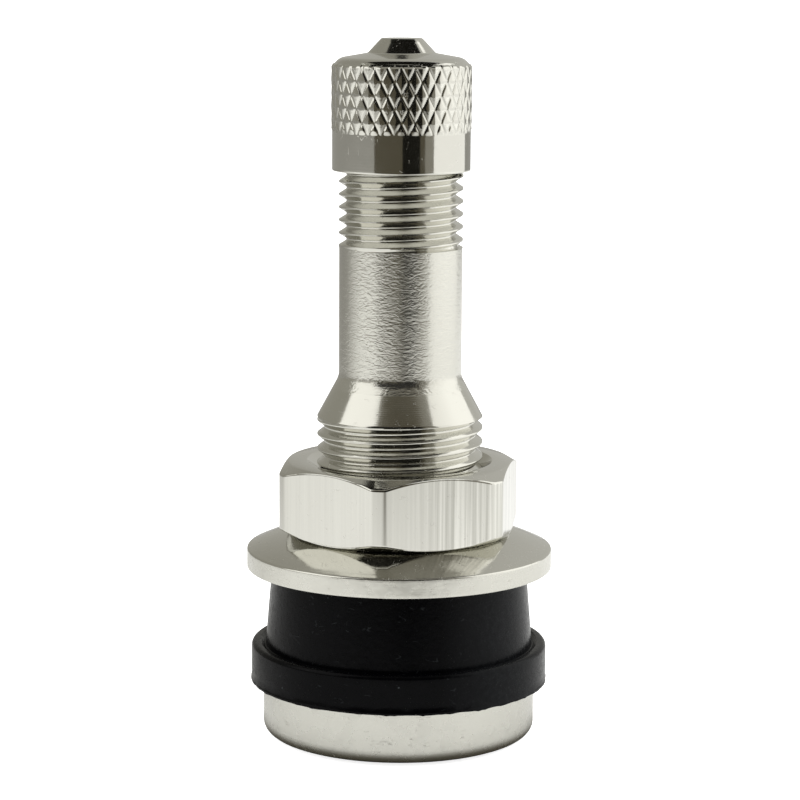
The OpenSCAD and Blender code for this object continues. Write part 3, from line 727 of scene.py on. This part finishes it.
# The dome is a parabola from the nut's seat out to where the rim's rounding starts
RIM_WALL_TOP_Z = RIM_TOP_Z - 0.05
along_cone = (washer_outline[:, 0] - WASHER_SEAT_R) / (WASHER_R - 0.15 - WASHER_SEAT_R)
on_cone = (washer_outline[:, 1] > RIM_WALL_TOP_Z) & (along_cone > 0) & (along_cone < 1)
washer_outline[on_cone, 1] += 4 * CONE_BULGE * (along_cone * (1 - along_cone))[on_cone]
washer = surface("washer_pressed", "clamp_washer", plain(washer_outline, washer_angles),
                 washer_angles, [nickel_washer, satin_rim])
outward, height = face_places(washer)
on_rim = (outward > WASHER_R - 0.2) & (height < RIM_WALL_TOP_Z)
washer.data.polygons.foreach_set("material_index", on_rim.astype(np.int32))

# %% [markdown]
# ## The nut
# A hexagon bar, turned down at its corners and bevelled at both ends, with a countersunk thread.
# For each direction round the axis the outline is the same turned bevel, cut off at the
# hexagon's flat, so the bevel leaves the curved arcs that every such nut shows on its flats.
# Boolean cuts could do the same, but they leave long thin faces that a bright finish gives away.

# %% Hexagon of the nut
NUT_FLAT_R = 7.0
# Degrees from the middle of a flat to its corner
HALF_FLAT = 30
NUT_CORNER_R = NUT_FLAT_R / math.cos(math.radians(HALF_FLAT)) - 0.25
NUT_TURN = 20.6
NUT_BEVEL = 30
BEVEL_INSET, BEVEL_LEAST = 0.06, 0.03
EDGE_SOFT = 0.035
# Columns stand close together beside the edges where a flat meets its turned corner
flat_edge = math.degrees(math.acos(NUT_FLAT_R / NUT_CORNER_R))
beside_corner = np.array([flat_edge - 1.2, flat_edge - 0.4, flat_edge + 0.4, flat_edge + 1.2])
half_flat = np.concatenate([
    np.linspace(0, flat_edge - 2.5, 9), beside_corner, [HALF_FLAT - 1.0, HALF_FLAT]])
one_flat = np.concatenate([-half_flat[:0:-1], half_flat[:-1]])
nut_degrees = np.sort(np.concatenate([
    (NUT_TURN + HALF_FLAT + 2 * HALF_FLAT * k + one_flat) % 360 for k in range(6)]))
nut_angles = np.radians(nut_degrees)
from_flat = np.abs((nut_degrees - NUT_TURN) % (2 * HALF_FLAT) - HALF_FLAT)
hexagon = NUT_FLAT_R / np.cos(np.radians(from_flat))
# A soft minimum rounds the edge between each flat and its turned corner
reach = -EDGE_SOFT * np.logaddexp(-hexagon / EDGE_SOFT, -NUT_CORNER_R / EDGE_SOFT)
bevel = np.maximum(reach - NUT_FLAT_R + BEVEL_INSET, BEVEL_LEAST) * math.tan(math.radians(NUT_BEVEL))
print("nut has", len(nut_angles), "columns, and reaches", round(reach.max(), 3), "mm at its corners")

# %% Nut
SINK_R, SINK_EDGE, SINK_LAND = 5.8, 0.02, 0.03
NUT_BORE_R = SHANK_R + 0.05
NUT_CREST_R = 4.95
NUT_EDGE = 0.05


def nut_wall():
    """Rows down the outside: top face, bevel, flat and the bevel below, with softened edges."""
    inner = NUT_FLAT_R - BEVEL_INSET
    rows = [(np.full_like(reach, SINK_R + SINK_LAND), np.full_like(reach, NUT_TOP_Z))]
    rows += [(inner + (reach - inner) * s, NUT_TOP_Z - bevel * s) for s in np.linspace(0, 0.96, 7)]
    rows.append((reach - NUT_EDGE * 0.3, NUT_TOP_Z - bevel - NUT_EDGE * 0.35))
    rows.extend((reach, NUT_TOP_Z - bevel - NUT_EDGE * k) for k in (1.4, 2.4, 4.0))
    walls = rows + [(r, NUT_Z + NUT_TOP_Z - z) for r, z in reversed(rows)]
    return np.array([r for r, z in walls]), np.array([z for r, z in walls]), np.arange(len(walls))


sink_h = SINK_R - NUT_BORE_R
lower_sink = rounded([
    (SINK_R + SINK_LAND, NUT_Z), (SINK_R, NUT_Z, SINK_EDGE), (NUT_BORE_R, NUT_Z + sink_h)], closed=False)
upper_sink = rounded([
    (NUT_BORE_R, NUT_TOP_Z - sink_h), (SINK_R, NUT_TOP_Z, SINK_EDGE), (SINK_R + SINK_LAND, NUT_TOP_Z)],
    closed=False)
# The nut's groove holds the shank's crest, so its own crest lies half a pitch away
nut_thread = thread(
    NUT_Z + sink_h, NUT_TOP_Z - sink_h, NUT_PITCH, SHANK_CREST_Z, NUT_BORE_R, NUT_CREST_R, nut_angles,
    fade_low=0.2, fade_high=0.2)
nut_grid = stacked(nut_wall(), plain(lower_sink, nut_angles), nut_thread, plain(upper_sink, nut_angles))
surface("nut_drawn", "clamp_nut", nut_grid, nut_angles, [nickel_nut], sharp=50)

# %% [markdown]
# ## The cap
# A turned cap with a plain band, a rolled diamond knurl, a sloped crown and a small nib that
# opens a stuck core. Two wheels with slanted teeth roll the knurl: each leaves one family of
# helical grooves, and low diamonds stand up between them. So the height of a point follows
# from its distance to the nearest groove: steep in the groove, then gently up to the diamond's
# middle. The rising grooves have a wide left wall and a narrow right one, which catch the light
# as bright crossing lines. Above the knurl a narrow ledge leads to the rounded crown.

# %% Knurl
# Diamonds in a row, the height from one row to the next, and grid steps to half a diamond
KNURL_COUNT = 32
KNURL_STEP = 0.82
KNURL_PARTS = 8
KNURL_LOW_Z, KNURL_TOP_Z = CAP_Z + 2.45, CAP_Z + 6.52
# The last knurled row, from where a short slope leads to the plain band, and a level of crossings
KNURL_END_Z = KNURL_LOW_Z + 0.12
KNURL_CROSSING_Z = CAP_Z + 4.74
GROOVE_DEPTH = 0.048
DIAMOND_RISE = 0.03
# Widths of a groove's left and right wall, as shares of the spacing
FALLING_WALLS = (2 / 16, 2 / 16)
RISING_WALLS = (3 / 16, 1 / 16)
cap_angles = round_angles(KNURL_COUNT * 2 * KNURL_PARTS)


def knurl():
    """Rows of the knurled band, from its top edge down to the plain band."""
    step = KNURL_STEP / KNURL_PARTS
    highest = math.floor((KNURL_TOP_Z - KNURL_CROSSING_Z) / step)
    lowest = math.ceil((KNURL_END_Z + 0.03 - KNURL_CROSSING_Z) / step)
    height = KNURL_CROSSING_Z + step * np.arange(highest, lowest - 1, -1)
    height = np.concatenate([[KNURL_TOP_Z], height, [KNURL_END_Z]])
    round_share = (cap_angles + math.pi / 2) * KNURL_COUNT / (2 * math.pi)
    up_share = (height[:, None] - KNURL_CROSSING_Z) / (2 * KNURL_STEP)
    families = ((round_share + up_share, FALLING_WALLS), (round_share - up_share, RISING_WALLS))
    groove = slope = 0
    for place, (left, right) in families:
        off_groove = (place + 0.5) % 1 - 0.5
        wall = np.where(off_groove < 0, left, right)
        groove = np.maximum(groove, np.clip(1 - np.abs(off_groove) / wall, 0, 1))
        slope = np.maximum(slope, np.clip((0.5 - np.abs(off_groove)) / (0.5 - wall), 0, 1))
    # The knurl's upper end is turned down a little towards the crown
    turned_down = np.clip(height - KNURL_TOP_Z + 0.1, 0, None)[:, None]
    radius = RIDGE_R - DIAMOND_RISE * slope - GROOVE_DEPTH * groove - turned_down
    return radius, np.broadcast_to(height[:, None], radius.shape), np.arange(len(height))


print("knurl has", knurl()[0].shape, "rows and columns")

# %% Cap
BAND_R = RIDGE_R - 0.06
BAND_EDGE = 0.08
CAP_MOUTH_R, CAP_MOUTH_EDGE = VALVE_R + 0.2, 0.03
CAP_BORE_R = VALVE_R + 0.05
CAP_CREST_R = 3.6
CAP_LEAD_Z, CAP_THREAD_TOP_Z = CAP_Z + 0.2, MOUTH_Z - 0.3
CROWN_EDGE_Z, CROWN_ROUND = CAP_Z + 6.805, 0.9
NIB_R, NIB_LOW_R, NIB_H = 1.25, 2.1, 0.9
NIB_EDGE, NIB_ROUND, NIB_COVE = 0.2, 0.15, 0.25
crown_outline = rounded([
    (0, CAP_TOP_Z), (NIB_R, CAP_TOP_Z, NIB_ROUND), (NIB_R + NIB_EDGE, CAP_TOP_Z - NIB_EDGE, NIB_ROUND),
    (NIB_LOW_R, CAP_TOP_Z - NIB_H, NIB_COVE), (BAND_R, CROWN_EDGE_Z, CROWN_ROUND), (BAND_R, KNURL_LOW_Z)],
    closed=False, step=5)
crown_outline = crown_outline[crown_outline[:, 1] > KNURL_TOP_Z + 0.02]
# Points near both ends of the band keep its straight wall from shading like a bend
band_levels = [KNURL_LOW_Z, KNURL_LOW_Z - 0.1, KNURL_LOW_Z - 0.2, CAP_Z + 0.3, CAP_Z + 0.15]
band_outline = rounded([(BAND_R, level) for level in band_levels] + [
    (BAND_R, CAP_Z, BAND_EDGE), (CAP_MOUTH_R, CAP_Z, CAP_MOUTH_EDGE), (CAP_BORE_R, CAP_LEAD_Z)],
    closed=False)
cap_thread = thread(
    CAP_LEAD_Z, CAP_THREAD_TOP_Z, CAP_PITCH, VALVE_CREST_Z, CAP_BORE_R, CAP_CREST_R, cap_angles,
    fade_low=0.3, fade_high=0.3, form=COARSE_FORM)
ceiling_outline = np.array([(CAP_BORE_R, CAP_THREAD_TOP_Z), (CAP_BORE_R, CEILING_Z), (0, CEILING_Z)])
cap_grid = stacked(
    plain(crown_outline, cap_angles), knurl(), plain(band_outline, cap_angles), cap_thread,
    plain(ceiling_outline, cap_angles))
surface("cap_knurled", "cap_shell", cap_grid, cap_angles, [nickel_cap], closed=False, sharp=30)

# %% [markdown]
# ## The floor
# The valve stands on a pale sheet of paper over a light table, which lifts the shadow round the
# foot as in the photograph. Bright metal mirrors the floor too, and there the photograph shows
# darker stretches. So the floor has pools of painted shade that only reflections show, with a
# painted contact shadow right under the foot.

# %% Floor
FLOOR_HALF = 6.0
floor_mesh = bpy.data.meshes.new("floor")
floor_mesh.from_pydata(
    [(x * FLOOR_HALF, y * FLOOR_HALF, 0) for x, y in ((-1, -1), (1, -1), (1, 1), (-1, 1))],
    [], [(0, 1, 2, 3)])
floor = bpy.data.objects.new("floor", floor_mesh)
bpy.context.scene.collection.objects.link(floor)
floor_paper_with_painted_shade, floor_tree = empty_material("floor_paper_with_painted_shade")
floor_shader = add(floor_tree, "ShaderNodeBsdfPrincipled")
add(floor_tree, "ShaderNodeOutputMaterial", {"Surface": floor_shader.outputs["BSDF"]})
floor_shader.inputs["Roughness"].default_value = 0.9
spot = add(floor_tree, "ShaderNodeTexCoord").outputs["Object"]
rays_to_floor = add(floor_tree, "ShaderNodeLightPath")
# The pools of painted shade: in front, a narrow one nearer, at the back left, behind the foot,
# under it as a painted contact shadow, and far away all round. Each has a middle, a scale that
# narrows it sideways, the distances in metres at which its shade is full and gone, and its strength.
pools = [((0.03, -0.25, 0), 1.0, 0.06, 0.21, 1.0), ((0.01, -0.13, 0), 2.5, 0.04, 0.1, 0.85),
         ((-0.17, 0.2, 0), 1.0, 0.12, 0.24, 0.8), ((-0.022, 0.02, 0), 1.0, 0.008, 0.022, 0.5),
         ((0, 0, 0), 1.0, 0.0086, 0.0115, 1.0), ((0, 0, 0), 1.0, 0.4, 0.22, 0.72)]
shade = 0.0
for middle, narrow, inside, outside, full in pools:
    offset = add(floor_tree, "ShaderNodeVectorMath", {0: spot, 1: middle}, operation="SUBTRACT")
    scaled = add(floor_tree, "ShaderNodeVectorMath", {
        0: offset.outputs["Vector"], 1: (narrow, 1, 1)}, operation="MULTIPLY")
    away = add(floor_tree, "ShaderNodeVectorMath", {0: scaled.outputs["Vector"]}, operation="LENGTH")
    pool = add(floor_tree, "ShaderNodeMapRange", {
        "Value": away.outputs["Value"], "From Min": inside, "From Max": outside,
        "To Min": full, "To Max": 0.0})
    deepest = add(floor_tree, "ShaderNodeMath", {0: pool.outputs["Result"], 1: shade}, operation="MAXIMUM")
    shade = deepest.outputs[0]
# Only reflections see the painted shade, which darkens the paper towards a dim grey
dim = add(floor_tree, "ShaderNodeMath", {
    0: shade, 1: rays_to_floor.outputs["Is Glossy Ray"]}, operation="MULTIPLY")
paper = add(floor_tree, "ShaderNodeMix", {
    "Factor": dim.outputs[0], "A": linear("#f2f2f0"), "B": linear("#5f5b50")}, data_type="RGBA")
floor_tree.links.new(paper.outputs["Result"], floor_shader.inputs["Base Color"])
# The light table
floor_shader.inputs["Emission Color"].default_value = linear("#ffffff")
glow = add(floor_tree, "ShaderNodeMath", {
    0: rays_to_floor.outputs["Is Camera Ray"], 1: 0.8}, operation="MULTIPLY")
floor_tree.links.new(glow.outputs[0], floor_shader.inputs["Emission Strength"])
floor_mesh.materials.append(floor_paper_with_painted_shade)
print("floor laid, with", len(pools), "darker pools")

# %% [markdown]
# ## Cards and soft boxes
# Bright metal shows little of itself: what it shows is the room. So the room is drawn with
# care: large soft boxes stand at both sides, and grey and black cards stand in front and hang
# above. The cards glow with fixed colours and only reflections see them: they are painted
# reflections.

# %% Cards and lamps
def looking(centre, target, axis):
    """A place at the centre, with the given axis of the object turned to the target."""
    turn = (Vector(target) - Vector(centre)).to_track_quat(axis, "Y")
    return Matrix.Translation(centre) @ turn.to_matrix().to_4x4()


def card(name, centre, size, facing, code):
    """A flat card that glows with a fixed colour and that only reflections see: a painted reflection."""
    mesh = bpy.data.meshes.new(name)
    w, h = size[0] / 2, size[1] / 2
    mesh.from_pydata([(-w, -h, 0), (w, -h, 0), (w, h, 0), (-w, h, 0)], [], [(0, 1, 2, 3)])
    piece = bpy.data.objects.new(name, mesh)
    bpy.context.scene.collection.objects.link(piece)
    piece.matrix_world = looking(centre, facing, "Z")
    material, tree = empty_material(name)
    light = add(tree, "ShaderNodeEmission", {"Color": linear(code), "Strength": 1.0})
    add(tree, "ShaderNodeOutputMaterial", {"Surface": light.outputs["Emission"]})
    mesh.materials.append(material)
    piece.visible_camera = piece.visible_shadow = piece.visible_diffuse = False


def soft_box(name, centre, size, facing, radiance):
    """A rectangular lamp, which lights the scene and shows in reflections."""
    lamp = bpy.data.lights.new(name, "AREA")
    lamp.shape = "RECTANGLE"
    lamp.size, lamp.size_y = size
    # Cycles spreads an area lamp's power so that its face shows a quarter of power per area,
    # and the room behind a lamp shines through it
    lamp.energy = 4 * size[0] * size[1] * radiance
    box = bpy.data.objects.new(name, lamp)
    bpy.context.scene.collection.objects.link(box)
    box.matrix_world = looking(centre, facing, "-Z")


# Centres and sizes are in metres, and each card or lamp faces the point that follows its size
card("front_card", (0.04, -0.2, 0.13), (0.48, 0.26), (0.04, 0, 0.13), "#5c574a")
card("grey_card", (0.215, -0.195, 0.1), (0.11, 0.2), (0.215, 0, 0.1), "#96938a")
card("dark_card", (-0.035, -0.195, 0.133), (0.33, 0.155), (-0.035, 0, 0.133), "#1a1915")
card("lens_card", (0.06, -0.19, 0.08), (0.107, 0.16), (0.06, 0, 0.08), "#1a1915")
card("top_card", (0.013, 0.03, 0.3), (0.29, 0.16), (0.013, 0.03, 0), "#14130f")
soft_box("right_box", (0.25, 0.0175, 0.2), (0.385, 0.4), (0, 0.0175, 0.2), 0.7)
soft_box("left_box", (-0.257, -0.084, 0.215), (0.29, 0.31), (0, 0, 0.025), 0.85)
print("lamps", [lamp.name for lamp in bpy.data.lights])

# %% [markdown]
# ## The room
# In reflections the room is greyer at the left than at the right, and dim behind the camera.
# All else sees even white light, which also makes the white backdrop. A world shader mixes
# the two by the kind of ray that asks.

# %% World
world = bpy.data.worlds.new("studio")
bpy.context.scene.world = world
world.use_nodes = True
sky = world.node_tree
sky.nodes.clear()
towards = add(sky, "ShaderNodeSeparateXYZ", {0: add(sky, "ShaderNodeTexCoord").outputs["Generated"]})
side = add(sky, "ShaderNodeMapRange", {
    "Value": towards.outputs["X"], "From Min": -0.4, "From Max": 0.4, "To Min": 0.0, "To Max": 1.0})
walls = add(sky, "ShaderNodeMix", {
    "Factor": side.outputs["Result"], "A": linear("#a3a198"), "B": linear("#cfcec9")}, data_type="RGBA")
ahead = add(sky, "ShaderNodeMapRange", {
    "Value": towards.outputs["Y"], "From Min": -0.5, "From Max": 0.1, "To Min": 0.0, "To Max": 1.0})
all_round = add(sky, "ShaderNodeMix", {
    "Factor": ahead.outputs["Result"], "A": linear("#96938a"), "B": walls.outputs["Result"]},
    data_type="RGBA")
room = add(sky, "ShaderNodeBackground", {"Color": all_round.outputs["Result"], "Strength": 1.0})
backdrop = add(sky, "ShaderNodeBackground", {"Color": linear("#ffffff"), "Strength": 1.1})
rays = add(sky, "ShaderNodeLightPath")
seen = add(sky, "ShaderNodeMixShader", {
    0: rays.outputs["Is Glossy Ray"], 1: backdrop.outputs["Background"], 2: room.outputs["Background"]})
add(sky, "ShaderNodeOutputWorld", {"Surface": seen.outputs["Shader"]})
bpy.context.scene.view_settings.view_transform = "Standard"
print("stage set")

# %% [markdown]
# ## The camera
# The photograph was taken from a little above, with a long lens. One pinhole camera was fitted
# to the round edges of the valve, and its distance, height, tilt and focal length are used here.
# It was also held a third of a degree off level, which the roll repeats.

# %% Camera
CAMERA_AWAY, CAMERA_UP = 172.5 * MM, 49.48 * MM
CAMERA_TILT, CAMERA_ROLL = math.radians(9.28), math.radians(0.31)
FOCAL_PX, IMAGE_PX = 2798, 800
lens = bpy.data.cameras.new("camera")
lens.sensor_width = 36.0
lens.lens = FOCAL_PX / IMAGE_PX * lens.sensor_width
lens.clip_start, lens.clip_end = 0.01, 100
camera = bpy.data.objects.new("camera", lens)
camera.matrix_world = (
    Matrix.Translation((0, -CAMERA_AWAY, CAMERA_UP)) @ Matrix.Rotation(math.pi / 2 - CAMERA_TILT, 4, "X")
    @ Matrix.Rotation(CAMERA_ROLL, 4, "Z"))
bpy.context.scene.collection.objects.link(camera)
bpy.context.scene.camera = camera
print("lens", round(lens.lens, 1), "mm")
